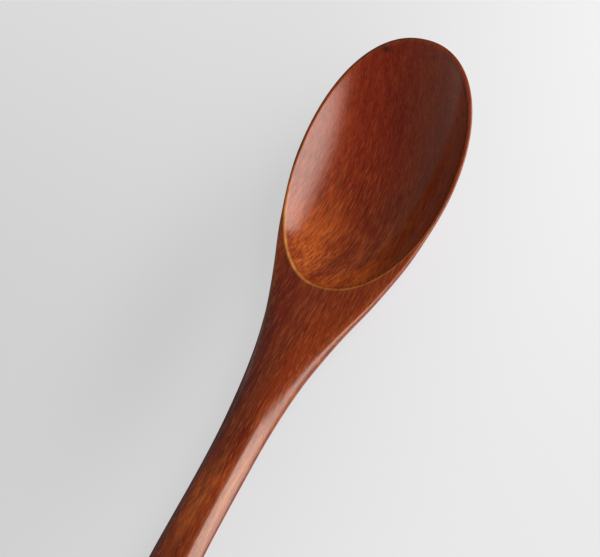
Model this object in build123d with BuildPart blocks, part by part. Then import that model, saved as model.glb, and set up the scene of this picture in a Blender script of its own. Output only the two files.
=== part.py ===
"""A wooden spoon carved from a single piece: a deep oval bowl, a neck with soft shoulders, a slim handle.

Its length runs along X with the bowl at +X, its width along Y, and it rests on the plane z = 0 with the
sanded flat under its bowl and the end of its handle.
"""

import os
from math import cos, hypot, pi, sqrt

from build123d import *

# Places along the spoon, the setbacks measured from the back of the hollow
overall_length = 185.0
hollow_length = 63.6
root_setback = 20.0
waist_setback = 52.0
bend_setback = 75.0
grip_setback = 105.0
end_round = 9.0

# The bowl: its hollow, the flat lip round it and the wood under it
hollow_width = 44.0
hollow_depth = 10.5
lip_width = 0.8
rim_height = 1.2
rim_round = 0.45
floor_thickness = 3.0
tip_rise = 12.6

# The neck and the handle, at the shoulder, the root of the neck, the waist and the grip
shoulder_thickness = 10.2
root_thickness = 8.9
waist_thickness = 7.4
grip_thickness = 6.8
root_rise = 1.4
waist_rise = 0.8
bend_rise = 0.1
waist_width = 12.7
grip_width = 14.7
neck_crown = 0.9

# The flats sanded where it rests, how far the hollow's cutter stands over the lip, and the overrun of cuts
flat_depth = 0.3
end_flat_depth = 0.1
cutter_lift = 0.5
overrun = 5.0

# Shares that shape its curves
oval_power_share = 2.14
oval_taper_share = 0.02
rise_power_share = 1.48
keel_fullness_share = 0.3
hollow_end_share = 0.85
hollow_arch_share = 0.44
hull_arch_share = 0.52
neck_arch_share = 1 / 3
handle_arch_share = 0.7
belly_arch_share = 0.67
side_share = 0.32
side_height_power_share = 1.8
side_inset_power_share = 2.5
crown_share = 0.13
belly_share = 0.2
flank_shares = ((0.19, 0.023), (0.355, 0.118), (0.50, 0.298), (0.64, 0.553), (0.79, 0.813))

# Stations of the sections, as shares of a quarter turn round the bowl and of the runs behind it
bowl_turn_shares = (0.02, 0.06, 0.12, 0.19, 0.28, 0.39, 0.52, 0.66, 0.82, 1.0)
flank_station_shares = (0.9, 0.79, 0.7, 0.62, 0.54, 0.46, 0.37, 0.26, 0.13)
handle_station_shares = (0.0, 0.22, 0.46, 0.7, 0.9)
end_turn_shares = (0.8, 0.55, 0.36, 0.2, 0.09, 0.03)

# What follows from the sizes
tip_x = overall_length / 2
end_x = -overall_length / 2
bowl_half_length = hollow_length / 2 + lip_width
bowl_half_width = hollow_width / 2 + lip_width
bowl_x = tip_x - bowl_half_length
shoulder_x = tip_x - lip_width - hollow_length
root_x = shoulder_x - root_setback
waist_x = shoulder_x - waist_setback
bend_x = shoulder_x - bend_setback
grip_x = shoulder_x - grip_setback


def ease(share):
    """From 0 to 1 with a level start and finish."""
    share = min(max(share, 0), 1)
    return share * share * (3 - 2 * share)


def along(stations, x, last_slope=0):
    """A smooth curve through (place, value) stations, level at the first, read at x."""
    steps = [(after[1] - before[1]) / (after[0] - before[0]) for before, after in zip(stations, stations[1:])]
    slopes = [0] + [(before + after) / 2 for before, after in zip(steps, steps[1:])] + [last_slope]
    index = max([0] + [i for i, (place, value) in enumerate(stations[:-1]) if place <= x])
    (start, low), (finish, high) = stations[index], stations[index + 1]
    t = (x - start) / (finish - start)
    bend = (1 - t) * slopes[index] - t * slopes[index + 1]
    return low + (high - low) * ease(t) + (finish - start) * t * (1 - t) * bend


def oval(share):
    """The bowl's outline: its half-width as a share, from its middle at 0 to its ends at 1 and -1."""
    fullness = max(1 - abs(share) ** oval_power_share, 0) ** (1 / oval_power_share)
    return (1 + oval_taper_share * share) * fullness


def closing(x):
    """How open the handle's rounded end is: 0 at its very end, 1 from there on."""
    share = min(max((end_x + end_round - x) / end_round, 0), 1)
    return sqrt(1 - share**2)


def half_width(x):
    """The outline from above: the oval as far as the bowl's middle, then one sweep in to the waist."""
    if x >= bowl_x:
        return bowl_half_width * oval((x - bowl_x) / bowl_half_length)
    waist, sweep = waist_width / 2, bowl_half_width - waist_width / 2
    flank = [(waist_x + (bowl_x - waist_x) * place, waist + sweep * share) for place, share in flank_shares]
    handle = [(end_x, grip_width / 2), (grip_x, grip_width / 2), (waist_x, waist)]
    middle_slope = bowl_half_width * oval_taper_share / bowl_half_length
    return along(handle + flank + [(bowl_x, bowl_half_width)], x, middle_slope) * closing(x)


def hull_thickness(x):
    """From the bowl's top line down to its keel, thinnest at the tip."""
    share = (x - bowl_x) / bowl_half_length
    deepest = hollow_depth + floor_thickness - rim_height
    return rim_height + deepest * (1 - share**2) * (1 + keel_fullness_share * share**2)


def thickness(x):
    """From the top line down to the underside."""
    if x >= bowl_x:
        return hull_thickness(x)
    stations = [(end_x, grip_thickness), (grip_x, grip_thickness), (waist_x, waist_thickness),
                (root_x, root_thickness), (shoulder_x, shoulder_thickness), (bowl_x, hull_thickness(bowl_x))]
    return along(stations, x) * closing(x)


def bowl_rise(x):
    """How far the bowl's top line stands over the shoulder."""
    return tip_rise * ((x - shoulder_x) / (tip_x - shoulder_x)) ** rise_power_share


bowl_places = [shoulder_x + (tip_x - shoulder_x) * place / 50 for place in range(51)]
shoulder_top = max(thickness(x) - bowl_rise(x) for x in bowl_places) - flat_depth
grip_top = grip_thickness - end_flat_depth


def top(x):
    """The top line seen from the side."""
    if x >= shoulder_x:
        return shoulder_top + bowl_rise(x)
    stations = [(end_x, grip_top), (grip_x, grip_top), (bend_x, shoulder_top + bend_rise),
                (waist_x, shoulder_top + waist_rise), (root_x, shoulder_top + root_rise), (shoulder_x, shoulder_top)]
    return along(stations, x)


def section(x):
    """The closed outline of the spoon at x: four arches as lists of (y, z) control points.

    Round the bowl the top is a flat lip with a hull under it. Down the neck the corner between them
    widens into the handle's soft oval.
    """
    soft = ease((shoulder_x - x) / waist_setback)
    behind = ease((bowl_x - x) / (bowl_x - root_x))
    taller, rounder = behind**side_height_power_share, behind**side_inset_power_share
    near_tip = min((tip_x - x) / (rim_height / 2), 1)
    open_share = sqrt(1 - (1 - near_tip) ** 2)
    width, depth = half_width(x), thickness(x) * open_share
    roof = top(x) - rim_height / 2 * (1 - open_share)

    crown = (1 - soft) * neck_crown * behind * closing(x) + soft * crown_share * depth
    side_height = (1 - taller) * rim_height * open_share + taller * (1 - crown_share - belly_share) * depth
    inset = (1 - rounder) * min(rim_round, side_share * width) + rounder * side_share * width
    side_y, high = width - inset, roof - crown
    low = high - side_height
    belly = depth - crown - side_height

    top_y = side_y * (neck_arch_share + soft * (handle_arch_share - neck_arch_share))
    low_y = side_y * (hull_arch_share + soft * (belly_arch_share - hull_arch_share))
    lift, drop = crown * 4 / 3, belly * 4 / 3
    top_run, low_run = hypot(side_y - top_y, lift), hypot(side_y - low_y, drop)
    out_top, out_low = (side_y - top_y) / top_run, (side_y - low_y) / low_run
    reach = inset / (3 / 8 * (out_top + out_low))
    after_top = (side_y + reach * out_top, high - reach * lift / top_run)
    before_low = (side_y + reach * out_low, low + reach * drop / low_run)

    def mirrored(point):
        return (-point[0], point[1])

    top_points = [(-side_y, high), (-top_y, high + lift), (top_y, high + lift), (side_y, high)]
    right_points = [(side_y, high), after_top, before_low, (side_y, low)]
    low_points = [(side_y, low), (low_y, low - drop), (-low_y, low - drop), (-side_y, low)]
    left_points = [mirrored(point) for point in reversed(right_points)]
    return [top_points, right_points, low_points, left_points]


# The cutter that carves the hollow stands a little over the lip, so it starts wider and longer than the
# hollow by what its sides lean in over that height
lift_share = cutter_lift / (hollow_depth + cutter_lift)
start_share = (1 - sqrt(1 - lift_share)) / 2
side_lean = ((1 - start_share) ** 3 - start_share**3
             + 3 * hollow_arch_share * start_share * (1 - start_share) * (1 - 2 * start_share))
end_lean = sqrt(1 - lift_share ** (1 / hollow_end_share))
cutter_half_length = hollow_length / 2 / end_lean
cutter_half_width = hollow_width / 2 / side_lean


def hollow_section(x):
    """The cutter's outline at x: a deep arch under a level lid, as lists of (y, z) control points."""
    share = (x - bowl_x) / cutter_half_length
    width = cutter_half_width * oval(share)
    depth = (hollow_depth + cutter_lift) * (1 - share**2) ** hollow_end_share
    lid, deep = top(x) + cutter_lift, top(x) + cutter_lift - depth * 4 / 3
    arch_y = hollow_arch_share * width
    return [[(-width, lid), (-arch_y, deep), (arch_y, deep), (width, lid)], [(width, lid), (-width, lid)]]


def draw(outline, x):
    """A face square to the spoon's length at x. Its arches stay separate edges, so that the skin follows them."""
    return Face(Wire([Bezier(*[(x, y, z) for y, z in points]) for points in outline]))


bowl_stations = [bowl_x + bowl_half_length * cos(turn * pi / 2) for turn in bowl_turn_shares]
flank_stations = [waist_x + (bowl_x - waist_x) * share for share in flank_station_shares]
handle_stations = [waist_x + (end_x + end_round - waist_x) * share for share in handle_station_shares]
end_stations = [end_x + end_round * (1 - cos(turn * pi / 2)) for turn in end_turn_shares]
body_stations = bowl_stations + flank_stations + handle_stations + end_stations
hollow_stations = [bowl_x + cutter_half_length * cos(turn * pi / 2) for turn in bowl_turn_shares]
hollow_stations += [2 * bowl_x - x for x in reversed(hollow_stations[:-1])]

body_sections = [draw(section(x), x) for x in body_stations]
hollow_sections = [draw(hollow_section(x), x) for x in hollow_stations]

with BuildPart() as spoon:
    loft(body_sections)
    loft(hollow_sections, mode=Mode.SUBTRACT)
    with BuildSketch(Plane.XY) as table:
        Rectangle(overall_length + overrun, 2 * bowl_half_width + overrun)
    extrude(amount=-overrun, mode=Mode.SUBTRACT)

spoon.part.label = "spoon"
os.makedirs("parts", exist_ok=True)
export_step(spoon.part, "parts/spoon.step")
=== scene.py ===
from math import pi, radians

from collections import namedtuple

import bmesh
import bpy
import numpy as np
from mathutils import Matrix, Quaternion, Vector


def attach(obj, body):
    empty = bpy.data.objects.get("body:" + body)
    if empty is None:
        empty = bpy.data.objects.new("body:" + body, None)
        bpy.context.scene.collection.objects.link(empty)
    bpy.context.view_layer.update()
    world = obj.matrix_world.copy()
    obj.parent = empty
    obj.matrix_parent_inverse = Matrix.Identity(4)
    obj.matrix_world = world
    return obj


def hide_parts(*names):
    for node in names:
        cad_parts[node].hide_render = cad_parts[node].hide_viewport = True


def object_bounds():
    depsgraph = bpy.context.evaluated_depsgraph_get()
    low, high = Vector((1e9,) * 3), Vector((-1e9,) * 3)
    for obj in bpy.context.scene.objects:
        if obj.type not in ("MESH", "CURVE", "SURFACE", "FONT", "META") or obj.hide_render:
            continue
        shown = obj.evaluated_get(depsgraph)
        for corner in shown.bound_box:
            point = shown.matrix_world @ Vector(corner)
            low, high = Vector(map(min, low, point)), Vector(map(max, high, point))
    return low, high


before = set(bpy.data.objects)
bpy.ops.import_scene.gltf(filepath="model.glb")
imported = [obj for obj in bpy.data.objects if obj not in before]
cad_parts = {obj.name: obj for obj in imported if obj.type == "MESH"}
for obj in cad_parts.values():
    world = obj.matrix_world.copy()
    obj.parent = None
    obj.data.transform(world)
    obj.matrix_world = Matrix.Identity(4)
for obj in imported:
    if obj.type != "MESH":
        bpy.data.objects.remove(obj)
cad_low, cad_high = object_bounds()

# The blank: the whole spoon before its hollow is carved, one piece of close-grained hardwood, sawn to its
# outline and shaped by hand. A skin follows its outline: an upper and a lower face laid out in rings round
# the bowl and in rows across the handle, joined by the rounded side that runs all the way round.

# Sizes in metres, the setbacks measured back from the hollow
tip_x, end_x = cad_high[0], cad_low[0]
hollow_length, hollow_width, hollow_depth = 0.0636, 0.044, 0.0105
lip_width, rim_height, rim_round, floor_thickness = 0.0008, 0.0012, 0.00045, 0.003
root_setback, waist_setback, bend_setback, grip_setback = 0.020, 0.052, 0.075, 0.105
end_round = 0.009
tip_rise, root_rise, waist_rise, bend_rise = 0.0126, 0.0014, 0.0008, 0.0001
shoulder_thickness, root_thickness, waist_thickness, grip_thickness = 0.0102, 0.0089, 0.0074, 0.0068
waist_width, grip_width, neck_crown = 0.0127, 0.0147, 0.0009
flat_depth, end_flat_depth = 0.0003, 0.0001
oval_power, oval_taper, rise_power, keel_fullness = 2.14, 0.02, 1.48, 0.3
hull_arch, neck_arch, handle_arch, belly_arch = 0.52, 1 / 3, 0.7, 0.67
side_height_power, side_inset_power = 1.8, 2.5
side_share, crown_share, belly_share = 0.32, 0.13, 0.2
flank_shares = ((0.19, 0.023), (0.355, 0.118), (0.50, 0.298), (0.64, 0.553), (0.79, 0.813))

# How finely the skin is laid out, and widths so small that they only keep a division by zero away
finest_step, row_step, neck_row_setback, weld_distance = 0.00007, 0.0007, 0.010, 0.000002
side_steps, neck_steps, inner_steps, outer_steps = 366, 34, 58, 14
lower_steps, end_steps, strip_steps, rise_steps = 40, 25, 9, 50
arch_rounds, spacing_rounds, slowest_growth, fastest_growth = 6, 40, 0.001, 9.0
least_face, least_run = 1e-9, 1e-12

bowl_half_length = hollow_length / 2 + lip_width
bowl_half_width = hollow_width / 2 + lip_width
rim_half_length = bowl_half_length - rim_round
bowl_x = tip_x - bowl_half_length
shoulder_x = tip_x - lip_width - hollow_length
root_x = shoulder_x - root_setback
waist_x = shoulder_x - waist_setback
bend_x = shoulder_x - bend_setback
grip_x = shoulder_x - grip_setback


def ease(share):
    """From 0 to 1 with a level start and finish."""
    share = np.clip(share, 0, 1)
    return share * share * (3 - 2 * share)


def along(stations, x, last_slope=0.0):
    """A smooth curve through (place, value) stations, level at the first, read at x."""
    places, values = np.array(stations).T
    steps = np.diff(values) / np.diff(places)
    slopes = np.concatenate(([0.0], (steps[1:] + steps[:-1]) / 2, [last_slope]))
    i = np.clip(np.searchsorted(places, x, side="right") - 1, 0, len(steps) - 1)
    run = places[i + 1] - places[i]
    t = (x - places[i]) / run
    bend = (1 - t) * slopes[i] - t * slopes[i + 1]
    return values[i] + (values[i + 1] - values[i]) * ease(t) + run * t * (1 - t) * bend


def oval(share):
    """The bowl's outline: its half-width as a share, from its middle at 0 to its ends at 1 and -1."""
    fullness = np.maximum(1 - np.abs(share) ** oval_power, 0) ** (1 / oval_power)
    return (1 + oval_taper * share) * fullness


def closing(x):
    """How open the handle's rounded end is: 0 at its very end, 1 from there on."""
    share = np.clip((end_x + end_round - x) / end_round, 0, 1)
    return np.sqrt(1 - share**2)


def sweep_half_width(x):
    """The outline from above, from the bowl's middle back to the handle's end."""
    waist, sweep = waist_width / 2, bowl_half_width - waist_width / 2
    flank = [(waist_x + (bowl_x - waist_x) * place, waist + sweep * share) for place, share in flank_shares]
    handle = [(end_x, grip_width / 2), (grip_x, grip_width / 2), (waist_x, waist)]
    middle_slope = bowl_half_width * oval_taper / bowl_half_length
    return along(handle + flank + [(bowl_x, bowl_half_width)], x, middle_slope) * closing(x)


def thickness(x):
    """From the top line down to the underside, thinnest at the tip."""
    deepest = hollow_depth + floor_thickness - rim_height
    share = np.clip((x - bowl_x) / rim_half_length, 0, 1)
    hull = rim_height + deepest * (1 - share**2) * (1 + keel_fullness * share**2)
    stations = [(end_x, grip_thickness), (grip_x, grip_thickness), (waist_x, waist_thickness),
                (root_x, root_thickness), (shoulder_x, shoulder_thickness), (bowl_x, rim_height + deepest)]
    return np.where(x >= bowl_x, hull, along(stations, x) * closing(x))


def bowl_rise(x):
    """How far the bowl's top line stands over the shoulder."""
    return tip_rise * np.clip((x - shoulder_x) / (tip_x - shoulder_x), 0, 1) ** rise_power


bowl_run = np.linspace(shoulder_x, tip_x, rise_steps + 1)
shoulder_top = (thickness(bowl_run) - bowl_rise(bowl_run)).max() - flat_depth
grip_top = grip_thickness - end_flat_depth


def top_line(x):
    """The top line seen from the side."""
    stations = [(end_x, grip_top), (grip_x, grip_top), (bend_x, shoulder_top + bend_rise),
                (waist_x, shoulder_top + waist_rise), (root_x, shoulder_top + root_rise),
                (shoulder_x, shoulder_top)]
    return np.where(x >= shoulder_x, shoulder_top + bowl_rise(x), along(stations, x))


Measures = namedtuple("Measures", "face out crown side belly upper_arch lower_arch")


def measures(x):
    """The section at x: half the width of its faces, how far its side stands out from them, the crown of
    its upper face, the height of its side, the belly of its lower face, and how full those two arches are."""
    soft = ease((shoulder_x - x) / waist_setback)
    behind = ease((bowl_x - x) / (bowl_x - root_x))
    taller, rounder = behind**side_height_power, behind**side_inset_power
    depth = thickness(x)
    width = np.where(x >= bowl_x, bowl_half_width, sweep_half_width(x))
    out = (1 - rounder) * np.minimum(rim_round, side_share * width) + rounder * side_share * width
    rim_oval = oval((x - bowl_x) / rim_half_length)
    face = np.where(x >= bowl_x, (bowl_half_width - rim_round) * rim_oval, width - out)
    crown = (1 - soft) * neck_crown * behind * closing(x) + soft * crown_share * depth
    side = (1 - taller) * rim_height + taller * (1 - crown_share - belly_share) * depth
    side = np.minimum(side, depth - crown)
    upper_arch = neck_arch + soft * (handle_arch - neck_arch)
    lower_arch = hull_arch + soft * (belly_arch - hull_arch)
    return Measures(face, out, crown, side, depth - crown - side, upper_arch, lower_arch)


def arch(y, face, fullness):
    """How far the arch over a face has come down from its crown at y, 0 to 1."""
    share = np.clip(np.abs(y) / np.maximum(face, least_face), 0, 1)
    swell = (3 * fullness - 1) / 4
    place = share
    for _ in range(arch_rounds):
        miss = place * (1 + swell - swell * place**2) - share
        place = place - miss / (1 + swell - 3 * swell * place**2)
    return place**2


def spacing(reach, count):
    """Places from 0 to 1 along a reach, set close at first and wider and wider from there."""
    low, high = np.full(np.shape(reach), slowest_growth), np.full(np.shape(reach), fastest_growth)
    for _ in range(spacing_rounds):
        growth = (low + high) / 2
        first = np.expm1(growth / count) / np.expm1(growth) * reach
        low, high = np.where(first > finest_step, growth, low), np.where(first > finest_step, high, growth)
    return np.expm1(growth * np.linspace(0, 1, count + 1)[:, None]) / np.expm1(growth)


# The outline in turns: forwards and back round the bowl's tip, then across the neck, where the rows begin
neck_row_x = shoulder_x - neck_row_setback
last_turn = pi / 2 + (bowl_x - neck_row_x) / rim_half_length
side_turns = np.linspace(-last_turn, last_turn, side_steps + 1)
neck_turns = np.linspace(last_turn, 2 * pi - last_turn, neck_steps + 1)
turn = np.concatenate((side_turns, neck_turns[1:]))
side_x = np.where(np.abs(side_turns) <= pi / 2, bowl_x + rim_half_length * np.cos(side_turns),
                  bowl_x - rim_half_length * (np.abs(side_turns) - pi / 2))
side_y = measures(side_x).face * np.sign(side_turns)
row_shares = np.linspace(1, -1, neck_steps + 1)
row_y = measures(np.full(neck_steps + 1, neck_row_x)).face * row_shares
border_x = np.append(side_x, np.full(neck_steps, neck_row_x))
border = np.stack((border_x, np.append(side_y, row_y[1:])), axis=1)

# The rings close in on the line where the cutter will leave the top, and spread out from it on both sides
edge_y = hollow_width / 2 * oval(np.cos(turn)) * np.sign(np.sin(turn))
edge = np.stack((bowl_x + hollow_length / 2 * np.cos(turn), edge_y), axis=1)
middle = np.array((bowl_x, 0.0))
inward = spacing(np.linalg.norm(edge - middle, axis=1), inner_steps)
outward = spacing(np.linalg.norm(border - edge, axis=1), outer_steps)
upper_rings = edge + (middle - edge) * inward[::-1, :, None]
upper_rings = np.concatenate((upper_rings, edge + (border - edge) * outward[1:, :, None]))
lower_rings = middle + (border - middle) * np.linspace(0, 1, lower_steps + 1)[:, None, None]

# The neck and the handle in straight rows, closer together where the end is rounded
straight = np.arange(neck_row_x, end_x + end_round, -row_step)
rounded = end_x + end_round * (1 - np.cos(np.linspace(pi / 2, 0, end_steps + 1)))
row_x = np.concatenate((straight, rounded))
rows = np.stack(np.broadcast_arrays(row_x[:, None], measures(row_x).face[:, None] * row_shares), axis=2)

points, faces, upper_marks, crown_drops = [], [], [], []


def lay(grid, upper=0.0, dropped=None):
    """Adds a grid of points to the skin, with a face between every four. It marks the points of the upper
    face, and how far each lies under the crown."""
    count, width = grid.shape[:2]
    first = sum(len(each) for each in points)
    corner = first + np.arange((count - 1) * width).reshape(count - 1, width)[:, :-1].ravel()
    points.append(grid.reshape(-1, 3))
    faces.append(np.stack((corner, corner + 1, corner + width + 1, corner + width), axis=1))
    upper_marks.append(np.full(count * width, upper))
    crown_drops.append(np.zeros(count * width) if dropped is None else dropped.ravel())


for plan in (upper_rings, rows):
    x, y = plan[..., 0], plan[..., 1]
    here = measures(x)
    dropped = here.crown * arch(y, here.face, here.upper_arch)
    lay(np.stack((x, y, top_line(x) - dropped), axis=2), 1.0, dropped)
for plan in (lower_rings, rows):
    x, y = plan[..., 0], plan[..., 1]
    here = measures(x)
    risen = here.belly * arch(y, here.face, here.lower_arch)
    z = top_line(x) - here.crown - here.side - here.belly + risen
    lay(np.stack((x, y, np.maximum(z, 0)), axis=2))

# The side bows out between the two faces, and round the bowl's front it does so towards the tip as well. It
# leaves each face in the direction of that face's arch, whose control points stand a third over its height.
round_x = np.concatenate((row_x[::-1], side_x[::-1][1:-1], row_x))
round_sign = np.concatenate((np.ones(len(row_x)), np.sign(side_turns[::-1][1:-1]), -np.ones(len(row_x))))
here = measures(round_x)
ahead = np.clip((round_x - bowl_x) / rim_half_length, 0, 1)
out_x = here.out * ahead
out_y = here.out * np.where(round_x > bowl_x, oval(ahead), 1) * round_sign
high = top_line(round_x) - here.crown
low = high - here.side
rise, fall = here.crown * 4 / 3, here.belly * 4 / 3
upper_flat, lower_flat = here.face * (1 - here.upper_arch), here.face * (1 - here.lower_arch)
upper_run, lower_run = np.hypot(upper_flat, rise) + least_run, np.hypot(lower_flat, fall) + least_run
upper_out = np.where(here.face > least_face, upper_flat / upper_run, 1)
lower_out = np.where(here.face > least_face, lower_flat / lower_run, 1)
reach = 8 / 3 / (upper_out + lower_out)
strips = []
for t in np.linspace(0, 1, strip_steps + 1):
    leaving, arriving = 3 * t * (1 - t) ** 2, 3 * t**2 * (1 - t)
    bow = reach * (leaving * upper_out + arriving * lower_out)
    z = (1 - t) ** 3 * high + leaving * (high - reach * here.out * rise / upper_run)
    z = z + arriving * (low + reach * here.out * fall / lower_run) + t**3 * low
    y = here.face * round_sign + bow * out_y
    strips.append(np.stack((round_x + bow * out_x, y, np.maximum(z, 0)), axis=1))
lay(np.array(strips))

mesh = bpy.data.meshes.new("spoon_body")
mesh.from_pydata(np.concatenate(points).tolist(), [], np.concatenate(faces).tolist())
for name, values in (("upper", upper_marks), ("crown_drop", crown_drops)):
    mesh.attributes.new(name, "FLOAT", "POINT").data.foreach_set("value", np.concatenate(values))
blank = bmesh.new()
blank.from_mesh(mesh)
bmesh.ops.remove_doubles(blank, verts=blank.verts, dist=weld_distance)
bmesh.ops.recalc_face_normals(blank, faces=blank.faces)
blank.to_mesh(mesh)
blank.free()
mesh.shade_smooth()
spoon = bpy.data.objects.new("spoon_body", mesh)
bpy.context.scene.collection.objects.link(spoon)


# The finish: reddish-brown stain under clear lacquer, sanded before and after, so that the open grain shows
# as streaks, fibres and short dark pores. It is darker in patches, rubbed pale in others, and worn along the
# hollow's edge and the handle's arris. Light and shade are painted into its colour too: painted light on the
# hollow's walls, a painted reflection on its right wall, painted shade on the neck's left shoulder and along
# the rim's left edge, and a painted highlight along the handle's right. On the neck's and handle's left it
# loses its gloss at grazing angles.


class Figure:
    """A number in a node tree, which adds and multiplies as plain numbers do."""

    def __init__(self, tree, socket):
        self.tree = tree
        self.socket = socket

    def step(self, operation, *others):
        """What a Math node makes of this number and others."""
        node = self.tree.nodes.new("ShaderNodeMath")
        node.operation = operation
        for slot, value in zip(node.inputs, (self, *others)):
            if isinstance(value, Figure):
                self.tree.links.new(value.socket, slot)
            else:
                slot.default_value = value
        return Figure(self.tree, node.outputs[0])

    def __add__(self, other):
        return self.step("ADD", other)

    def __sub__(self, other):
        return self.step("SUBTRACT", other)

    def __mul__(self, other):
        return self.step("MULTIPLY", other)

    def __truediv__(self, other):
        return self.step("DIVIDE", other)

    def __pow__(self, other):
        return self.step("POWER", other)

    def __neg__(self):
        return self * -1.0

    def __rsub__(self, other):
        return -self + other

    __radd__ = __add__
    __rmul__ = __mul__

    def squared(self):
        return self * self

    def fading(self):
        """1 where this number is 0, falling off towards 0 as it grows."""
        return (-self).step("EXPONENT")

    def between(self, low, high):
        """Held between two numbers."""
        return self.step("MAXIMUM", low).step("MINIMUM", high)

    def rising(self, start, finish):
        """From 0 at start to 1 at finish, held at both, with soft ends."""
        share = ((self - start) / (finish - start)).between(0.0, 1.0)
        return share * share * (3.0 - 2.0 * share)


def coordinates(tree, vector):
    """The three numbers of a vector in a node tree."""
    node = tree.nodes.new("ShaderNodeSeparateXYZ")
    tree.links.new(vector, node.inputs[0])
    return [Figure(tree, number) for number in node.outputs]


lacquer = bpy.data.materials.new("lacquered_wood")
lacquer.use_nodes = True
wood_tree = lacquer.node_tree
wood_links = wood_tree.links
shader = wood_tree.nodes["Principled BSDF"]

# Places on the spoon in metres, forward from the hollow's back edge and to the left of the middle line
place = wood_tree.nodes.new("ShaderNodeTexCoord").outputs["Object"]
along_frame, across = coordinates(wood_tree, place)[:2]
forward = along_frame - shoulder_x

# Each patch and pit: its middle forward and across, then how far it reaches both ways
# The patches on the hollow's back wall and on the back of its left and right walls are painted light; the one
# at the handle's waist is a real rubbed patch.
left_wall_light, back_wall_light = (0.0109, 0.012, 0.012, 0.009), (0.0039, -0.002, 0.008, 0.013)
right_wall_light, waist_rub = (0.0189, -0.008, 0.010, 0.006), (-0.0571, 0.0, 0.011, 0.0035)
neck_dark, grip_dark = (-0.0371, 0.002, 0.013, 0.005), (-0.0741, 0.0015, 0.008, 0.006)
# The patch on the neck's left shoulder is painted shade; the other dark patches are the wood's own tone.
shoulder_shade, floor_ticks = (-0.0071, 0.0115, 0.014, 0.0042), (0.0179, 0.0, 0.020, 0.016)
tip_pit, small_pit = (0.0604, 0.0098, 0.0007, 0.0014), (0.0612, -0.0032, 0.0005, 0.0007)
rim_pit, worn_stretch = (0.0143, 0.0186, 0.0004, 0.0004), (-0.0501, -0.005, 0.022, 0.02)

# The handle's arris: the middle of its bow, how much it bends, and how far the wear reaches from it. Then how
# far the wear reaches from the hollow's edge, and how far the growth rings wander from a straight line.
arris_forward, arris_across, arris_bend, arris_wear = -0.0551, -0.00515, 3.3, 0.00028
edge_wear, ring_wander = 0.00034, 0.014


def patch(middle_forward, middle_across, reach_forward, reach_across):
    """A soft oval patch, 1 in its middle and nearly 0 past its reach."""
    away = (forward - middle_forward) / reach_forward
    aside = (across - middle_across) / reach_across
    return (away.squared() + aside.squared()).fading()


def pattern(marks, detail, rough, turned=(0.0, 0.0, 0.0), warp=0.0):
    """Noise with so many marks to the metre along, across and through the spoon. The small turn gives it
    marks of its own where another pattern has as many."""
    mapping = wood_tree.nodes.new("ShaderNodeMapping")
    mapping.inputs["Scale"].default_value = marks
    mapping.inputs["Rotation"].default_value = turned
    wood_links.new(place, mapping.inputs["Vector"])
    noise = wood_tree.nodes.new("ShaderNodeTexNoise")
    noise.inputs["Scale"].default_value = 1.0
    noise.inputs["Detail"].default_value = detail
    noise.inputs["Roughness"].default_value = rough
    noise.inputs["Distortion"].default_value = warp
    wood_links.new(mapping.outputs["Vector"], noise.inputs["Vector"])
    return Figure(wood_tree, noise.outputs[0])


def stain(red, green, blue):
    """A colour as seen on screen, 0 to 255, turned into the amounts of light it sends back."""
    shares = [each / 255 for each in (red, green, blue)]
    return (*(((s + 0.055) / 1.055) ** 2.4 if s > 0.04045 else s / 12.92 for s in shares), 1.0)


def tinted(under, over, share):
    """One colour laid over another by a share."""
    node = wood_tree.nodes.new("ShaderNodeMix")
    node.data_type = "RGBA"
    for slot, value in ((node.inputs[6], under), (node.inputs[7], over)):
        if isinstance(value, tuple):
            slot.default_value = value
        else:
            wood_links.new(value, slot)
    wood_links.new(share.socket, node.inputs[0])
    return node.outputs[2]


# The grain, and the growth rings that wander along the spoon
rings = across + (pattern((14.0, 60.0, 60.0), 2.0, 0.5) - 0.5) * ring_wander
blotches = pattern((60.0, 150.0, 120.0), 3.0, 0.6, warp=0.4).rising(0.42, 0.66)
streaks = pattern((60.0, 700.0, 340.0), 2.0, 0.55, (0.0, 0.0, 0.03)).rising(0.36, 0.68)
fibres = pattern((260.0, 2600.0, 1100.0), 2.0, 0.6, (0.0, 0.0, 0.05)).rising(0.40, 0.66)
glints = pattern((300.0, 2600.0, 1100.0), 2.0, 0.5, (0.0, 0.02, 0.0)).rising(0.46, 0.74)
ticks = pattern((260.0, 3400.0, 850.0), 2.0, 0.55).rising(0.44, 0.62)
pores = pattern((300.0, 2600.0, 2300.0), 1.0, 0.5, (0.0, 0.0, 0.02)).rising(0.62, 0.72)

# How deep the cutter went, or how far it stayed over the wood where that is less than nothing
carved_node = wood_tree.nodes.new("ShaderNodeAttribute")
carved_node.attribute_name = "carved"
carved = Figure(wood_tree, carved_node.outputs["Fac"])
hollowed = carved.rising(0.0, 0.0012)
left = across.rising(-0.004, 0.014)

# Where the stain is rubbed, dark or pitted, where painted light pales the hollow's walls and painted shade
# darkens the neck's left shoulder and the rim's left edge, the painted highlight on the handle's right, and
# what is worn
# Paler where painted light falls on the hollow's walls, and where the stain is rubbed at the handle's waist
lit_and_rubbed = (patch(*left_wall_light) * 0.64 + patch(*back_wall_light) * 0.75) * hollowed
lit_and_rubbed = lit_and_rubbed + patch(*waist_rub) * 0.9 + patch(*right_wall_light) * 0.6
dark_and_shaded = patch(*neck_dark) * 1.2 + blotches * 0.45 + patch(*grip_dark) * 0.5
dark_and_shaded = dark_and_shaded + (1.0 - forward.rising(-0.0321, -0.0061)) * 0.18 + patch(*shoulder_shade) * (1.0 - hollowed)
pits = patch(*tip_pit) * 0.8 + patch(*small_pit) * 0.4 + patch(*rim_pit)
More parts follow.
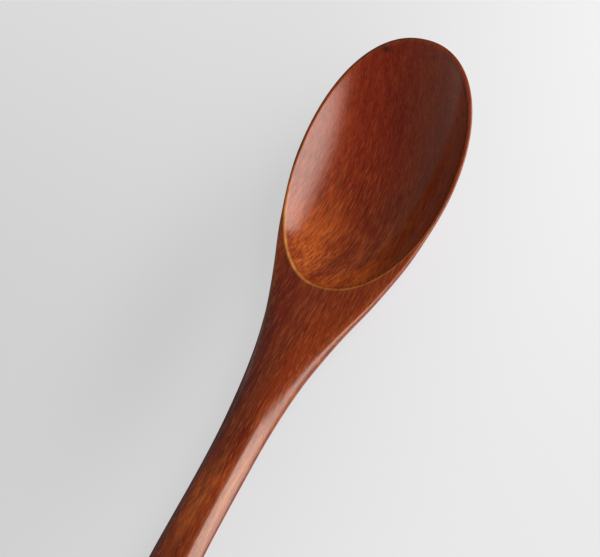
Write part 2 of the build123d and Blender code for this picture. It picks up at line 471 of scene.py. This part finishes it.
# A painted highlight: a pale band along the handle's right side
painted_highlight = (-across).rising(0.0032, 0.0046) * (1.0 - (-across).rising(0.0054, 0.0064))
painted_highlight = painted_highlight * (1.0 - forward.rising(-0.0421, -0.0241))
from_arris = across - arris_across + (forward - arris_forward).squared() * arris_bend
arris = (from_arris / arris_wear).squared().fading() * patch(*worn_stretch)
back_edge = 1.0 - forward.rising(0.010, hollow_length / 2)
worn = (carved / edge_wear).squared().fading() * (back_edge * (0.3 + left * 0.4) + 0.06)
# Painted shade: a dark line along the top of the rim on the hollow's left, in its front half
painted_lip_shade = (1.0 - carved.rising(-0.0004, -0.0001)) * forward.rising(0.0, hollow_length / 2) * left

# The stains, each over all before it
colour = tinted(stain(120, 42, 12), stain(110, 28, 8), rings.rising(-0.007, 0.003))
for over, share in (
    (stain(160, 64, 20), rings.rising(0.012, 0.019) * 0.65),
    # Paler orange: painted light on the hollow's walls, and the rubbed patch at the handle's waist
    (stain(190, 94, 36), lit_and_rubbed.between(0.0, 1.0) * (1.1 - blotches * 0.8)),
    # Darker: patches of the wood's own tone, and painted shade on the neck's left shoulder
    (stain(78, 15, 6), dark_and_shaded.between(0.0, 1.0) * 0.7),
    # A paler purple-brown over the hollow's right wall: painted reflection, and painted light in that wall's
    # shade
    (stain(152, 80, 58), (-rings).rising(0.009, 0.015) * hollowed * 0.85),
    (stain(154, 66, 26), streaks * 0.2),
    (stain(56, 15, 6), fibres * (0.44 - forward.rising(0.0219, 0.0519) * 0.12)),
    (stain(88, 28, 10), ticks * (0.04 + patch(*floor_ticks) * hollowed * 0.22 + lit_and_rubbed * 0.55)),
    (stain(196, 108, 54), glints * (1.0 - forward.rising(0.0169, 0.0519) * 0.7) * 0.26),
    (stain(46, 15, 8), pores * 0.45),
    # The painted highlight along the handle's right
    (stain(200, 152, 122), painted_highlight * 0.13),
    (stain(196, 116, 44), arris * (0.15 + streaks * 0.3)),
    (stain(30, 8, 5), pits.between(0.0, 1.0)),
    # Painted shade along the rim's left edge
    (stain(56, 18, 10), painted_lip_shade * 0.6),
    (stain(200, 136, 70), worn * (0.7 + streaks * 0.5)),
):
    colour = tinted(colour, over, share)
wood_links.new(colour, shader.inputs["Base Color"])

# The lacquer is the coat, and the wood under it has no shine of its own
shader.inputs["Roughness"].default_value = 0.42
shader.inputs["Specular IOR Level"].default_value = 0.0
shader.inputs["Coat Roughness"].default_value = 0.17
shader.inputs["Coat IOR"].default_value = 1.5
facing = wood_tree.nodes.new("ShaderNodeLayerWeight")
facing.inputs["Blend"].default_value = 0.5
grazing = Figure(wood_tree, facing.outputs["Facing"]).rising(0.46, 0.72)
matt_side = across.rising(-0.001, 0.003) * (1.0 - forward.rising(-0.0041, 0.0119))
wood_links.new((1.0 - grazing * matt_side * 0.9).socket, shader.inputs["Coat Weight"])

# The fibres and the pores lie a little under the surface
bump = wood_tree.nodes.new("ShaderNodeBump")
bump.inputs["Strength"].default_value = 0.35
bump.inputs["Distance"].default_value = 0.00003
wood_links.new((fibres * -0.5 - pores * 0.8).socket, bump.inputs["Height"])
wood_links.new(bump.outputs["Normal"], shader.inputs["Normal"])


# The hollow: a deep oval carved out of the bowl with a rounded cutter that leans out a little past the
# hollow's edge, then sanded, which leaves that edge just rounded.

cutter_lift, edge_round = 0.0005, 0.00025
hollow_end, hollow_arch = 0.85, 0.44
least_fullness, widest_share, cutter_rounds = 0.000001, 1.2, 4
lift_share = cutter_lift / (hollow_depth + cutter_lift)
swell = (3 * hollow_arch - 1) / 4
side_lean = (1 - lift_share) ** 0.5 * (1 + swell * lift_share)
end_lean = (1 - lift_share ** (1 / hollow_end)) ** 0.5

carving = bpy.data.node_groups.new("hollow_carving", "GeometryNodeTree")
carving.interface.new_socket("Geometry", in_out="OUTPUT", socket_type="NodeSocketGeometry")
carving.interface.new_socket("Geometry", in_out="INPUT", socket_type="NodeSocketGeometry")
carving_sizes = {
    "Middle": bowl_x,
    "Cutter Half Length": hollow_length / 2 / end_lean,
    "Cutter Half Width": hollow_width / 2 / side_lean,
    "Cutter Depth": hollow_depth + cutter_lift,
    "Cutter Lift": cutter_lift,
    "Edge Round": edge_round,
    "Oval Power": oval_power,
    "Oval Taper": oval_taper,
    "End Power": hollow_end,
    "Side Swell": swell,
}
for name in carving_sizes:
    carving.interface.new_socket(name, in_out="INPUT", socket_type="NodeSocketFloat")
carving.interface.new_socket("Finish", in_out="INPUT", socket_type="NodeSocketMaterial")
given = carving.nodes.new("NodeGroupInput")
made = carving.nodes.new("NodeGroupOutput")
sizes = {name: Figure(carving, given.outputs[name]) for name in carving_sizes}


def marked(name):
    """A number kept on the blank's points."""
    node = carving.nodes.new("GeometryNodeInputNamedAttribute")
    node.data_type = "FLOAT"
    node.inputs["Name"].default_value = name
    return Figure(carving, node.outputs["Attribute"])


# The cutter's depth at each point: its oval seen from above, its arch across and its rounded ends
point_x, point_y = coordinates(carving, carving.nodes.new("GeometryNodeInputPosition").outputs[0])[:2]
length_share = (point_x - sizes["Middle"]) / sizes["Cutter Half Length"]
fullness = (1.0 - length_share.step("ABSOLUTE") ** sizes["Oval Power"]).between(least_fullness, 1.0)
fullness = fullness ** (sizes["Oval Power"] ** -1.0) * (1.0 + sizes["Oval Taper"] * length_share)
width_share = point_y.step("ABSOLUTE") / (sizes["Cutter Half Width"] * fullness)
width_share = width_share.between(0.0, widest_share)
arch_place = width_share
for _ in range(cutter_rounds):
    arch_place = width_share / (1.0 + sizes["Side Swell"] - sizes["Side Swell"] * arch_place.squared())
depth = sizes["Cutter Depth"] * (1.0 - length_share.squared()).between(0.0, 1.0) ** sizes["End Power"]
depth = depth * (1.0 - arch_place.squared()).between(0.0, 1.0)
cut_depth = marked("upper") * (depth - marked("crown_drop")) - sizes["Cutter Lift"]
rounding = (cut_depth + sizes["Edge Round"]).between(0.0, 2.0 * sizes["Edge Round"])
taken = rounding.squared() / (4.0 * sizes["Edge Round"])
taken = taken + (cut_depth - sizes["Edge Round"]).step("MAXIMUM", 0.0)

down = carving.nodes.new("ShaderNodeCombineXYZ")
carving.links.new((-taken).socket, down.inputs["Z"])
lowered = carving.nodes.new("GeometryNodeSetPosition")
carving.links.new(down.outputs[0], lowered.inputs["Offset"])
kept = carving.nodes.new("GeometryNodeStoreNamedAttribute")
kept.data_type = "FLOAT"
kept.domain = "POINT"
kept.inputs["Name"].default_value = "carved"
carving.links.new(cut_depth.socket, kept.inputs["Value"])
realized = carving.nodes.new("GeometryNodeRealizeInstances")
finished = carving.nodes.new("GeometryNodeSetMaterial")
carving.links.new(given.outputs["Geometry"], kept.inputs["Geometry"])
carving.links.new(kept.outputs["Geometry"], lowered.inputs["Geometry"])
carving.links.new(lowered.outputs["Geometry"], realized.inputs["Geometry"])
carving.links.new(realized.outputs["Geometry"], finished.inputs["Geometry"])
carving.links.new(given.outputs["Finish"], finished.inputs["Material"])
carving.links.new(finished.outputs["Geometry"], made.inputs["Geometry"])

cutter = spoon.modifiers.new("carve_hollow", "NODES")
cutter.node_group = carving
for item in carving.interface.items_tree:
    if item.in_out == "INPUT" and item.name in carving_sizes:
        cutter[item.identifier] = float(carving_sizes[item.name])
    if item.name == "Finish":
        cutter[item.identifier] = lacquer
bpy.context.view_layer.update()
carved_mesh = bpy.data.meshes.new_from_object(spoon.evaluated_get(bpy.context.evaluated_depsgraph_get()))
spoon.modifiers.clear()
spoon.data = carved_mesh
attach(spoon, "root")
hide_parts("spoon")


# The table: a plain pale sheet, wide enough to fill the view. It lights the spoon as white paper would, while
# the camera and the gloss see its own greyer tone, with painted light and shade in its glow: darker away from
# the window and towards the handle, and one painted soft shade to the left of the neck.

sheet_reach, sheet_corners = 3, [(-1, -1), (1, -1), (1, 1), (-1, 1)]
lit_tone, seen_tone, seen_white = (0.88, 0.88, 0.885, 1.0), (0.155, 0.160, 0.178, 1.0), (1.0, 1.0, 1.0, 1.0)
near_glow, window_glow, far_glow, shade_depth = 0.519, 0.141, 0.117, 0.068
shade_x, shade_y, shade_reach_x, shade_reach_y = 0.017, 0.041, 0.045, 0.0194
sheet_mesh = bpy.data.meshes.new("table_sheet")
sheet_mesh.from_pydata([(x * sheet_reach, y * sheet_reach, 0) for x, y in sheet_corners], [], [(0, 1, 2, 3)])
table = bpy.data.objects.new("table_sheet", sheet_mesh)
bpy.context.scene.collection.objects.link(table)
paper = bpy.data.materials.new("pale_paper")
paper.use_nodes = True
paper_tree = paper.node_tree
paper_links = paper_tree.links
lit_paper = paper_tree.nodes["Principled BSDF"]
seen_paper = paper_tree.nodes.new("ShaderNodeBsdfPrincipled")
for layer, tone in ((lit_paper, lit_tone), (seen_paper, seen_tone)):
    layer.inputs["Base Color"].default_value = tone
    layer.inputs["Roughness"].default_value = 0.9
    layer.inputs["Specular IOR Level"].default_value = 0.0
seen_paper.inputs["Emission Color"].default_value = seen_white

table_x, table_y = coordinates(paper_tree, paper_tree.nodes.new("ShaderNodeTexCoord").outputs["Object"])[:2]
# Painted light and shade in the sheet's glow: brighter towards the window and beyond the bowl, less in one
# painted soft shade left of the neck
window_share = (-table_y).rising(-0.07, 0.064)
far_share = table_x.rising(-0.02, 0.16)
shade = ((table_x - shade_x) / shade_reach_x).squared() + ((table_y - shade_y) / shade_reach_y).squared()
table_glow = near_glow + window_share * window_glow + far_share * far_glow - shade.fading() * shade_depth
paper_links.new(table_glow.socket, seen_paper.inputs["Emission Strength"])
path = paper_tree.nodes.new("ShaderNodeLightPath")
seen = Figure(paper_tree, path.outputs["Is Camera Ray"])
for name in ("Is Glossy Ray", "Is Transmission Ray"):
    seen = seen + Figure(paper_tree, path.outputs[name])
chosen = paper_tree.nodes.new("ShaderNodeMixShader")
paper_links.new(seen.between(0.0, 1.0).socket, chosen.inputs[0])
paper_links.new(lit_paper.outputs[0], chosen.inputs[1])
paper_links.new(seen_paper.outputs[0], chosen.inputs[2])
paper_links.new(chosen.outputs[0], paper_tree.nodes["Material Output"].inputs["Surface"])
sheet_mesh.materials.append(paper)


# The light: one broad soft window lamp on the spoon's right, whose face glows less towards three of its
# sides, in a pale room that gives a little light back, more of it from the wall beyond the handle's left.

window_place, window_aim = Vector((0.110, -0.630, 0.41)), Vector((0.055, 0.0, 0.01))
room_glow, wall_glow, wall_focus, wall_direction = 0.12, 0.2, 5.0, (-0.41, 0.89, 0.20)
window_light = bpy.data.lights.new("window_side", "AREA")
window_light.shape = "RECTANGLE"
window_light.size = 1.5
window_light.size_y = 0.85
window_light.energy = 24.3
window_light.color = (1.0, 0.965, 0.90)
window_light.use_nodes = True
lamp_tree = window_light.node_tree
lamp_face = lamp_tree.nodes.new("ShaderNodeNewGeometry").outputs["Parametric"]
lamp_side, lamp_rise = coordinates(lamp_tree, lamp_face)[:2]
lamp_share = lamp_side.rising(-0.04, 0.42) * (1.0 - lamp_rise.rising(0.65, 1.0))
lamp_share = lamp_share * (0.5 + lamp_rise.rising(0.15, 0.5) * 0.5)
lamp_tree.links.new(lamp_share.socket, lamp_tree.nodes["Emission"].inputs["Strength"])
window = bpy.data.objects.new("window_side", window_light)
window.location = window_place
window.rotation_euler = (window_aim - window_place).to_track_quat("-Z", "Y").to_euler()
window.visible_camera = False
bpy.context.scene.collection.objects.link(window)

room = bpy.data.worlds.new("pale_room")
room.use_nodes = True
room_tree = room.node_tree
room_sky = room_tree.nodes["Background"]
room_sky.inputs["Color"].default_value = (1.03, 0.98, 0.93, 1.0)
towards_wall = room_tree.nodes.new("ShaderNodeVectorMath")
towards_wall.operation = "DOT_PRODUCT"
room_tree.links.new(room_tree.nodes.new("ShaderNodeTexCoord").outputs["Generated"], towards_wall.inputs[0])
towards_wall.inputs[1].default_value = wall_direction
wall = ((1.0 - Figure(room_tree, towards_wall.outputs["Value"])) * wall_focus).fading()
room_tree.links.new((room_glow + wall * wall_glow).socket, room_sky.inputs["Strength"])
bpy.context.scene.world = room


# The camera: close to the spoon, over its right side and a little behind the bowl, turned so that the
# handle runs out of the picture's lower left.

camera_place, aimed_at = Vector((-0.135494, -0.283840, 0.401430)), Vector((0.028067, 0.004959, 0.012))
camera_roll = radians(-37.191)
camera = bpy.data.cameras.new("camera")
camera.sensor_fit = "HORIZONTAL"
camera.sensor_width = 36.0
camera.lens = 130.583
camera.clip_start = 0.01
viewer = bpy.data.objects.new("camera", camera)
turned = (aimed_at - camera_place).to_track_quat("-Z", "Y") @ Quaternion((0, 0, 1), camera_roll)
viewer.matrix_world = Matrix.Translation(camera_place) @ turned.to_matrix().to_4x4()
bpy.context.scene.collection.objects.link(viewer)
bpy.context.scene.camera = viewer
bpy.context.scene.view_settings.view_transform = "Standard"
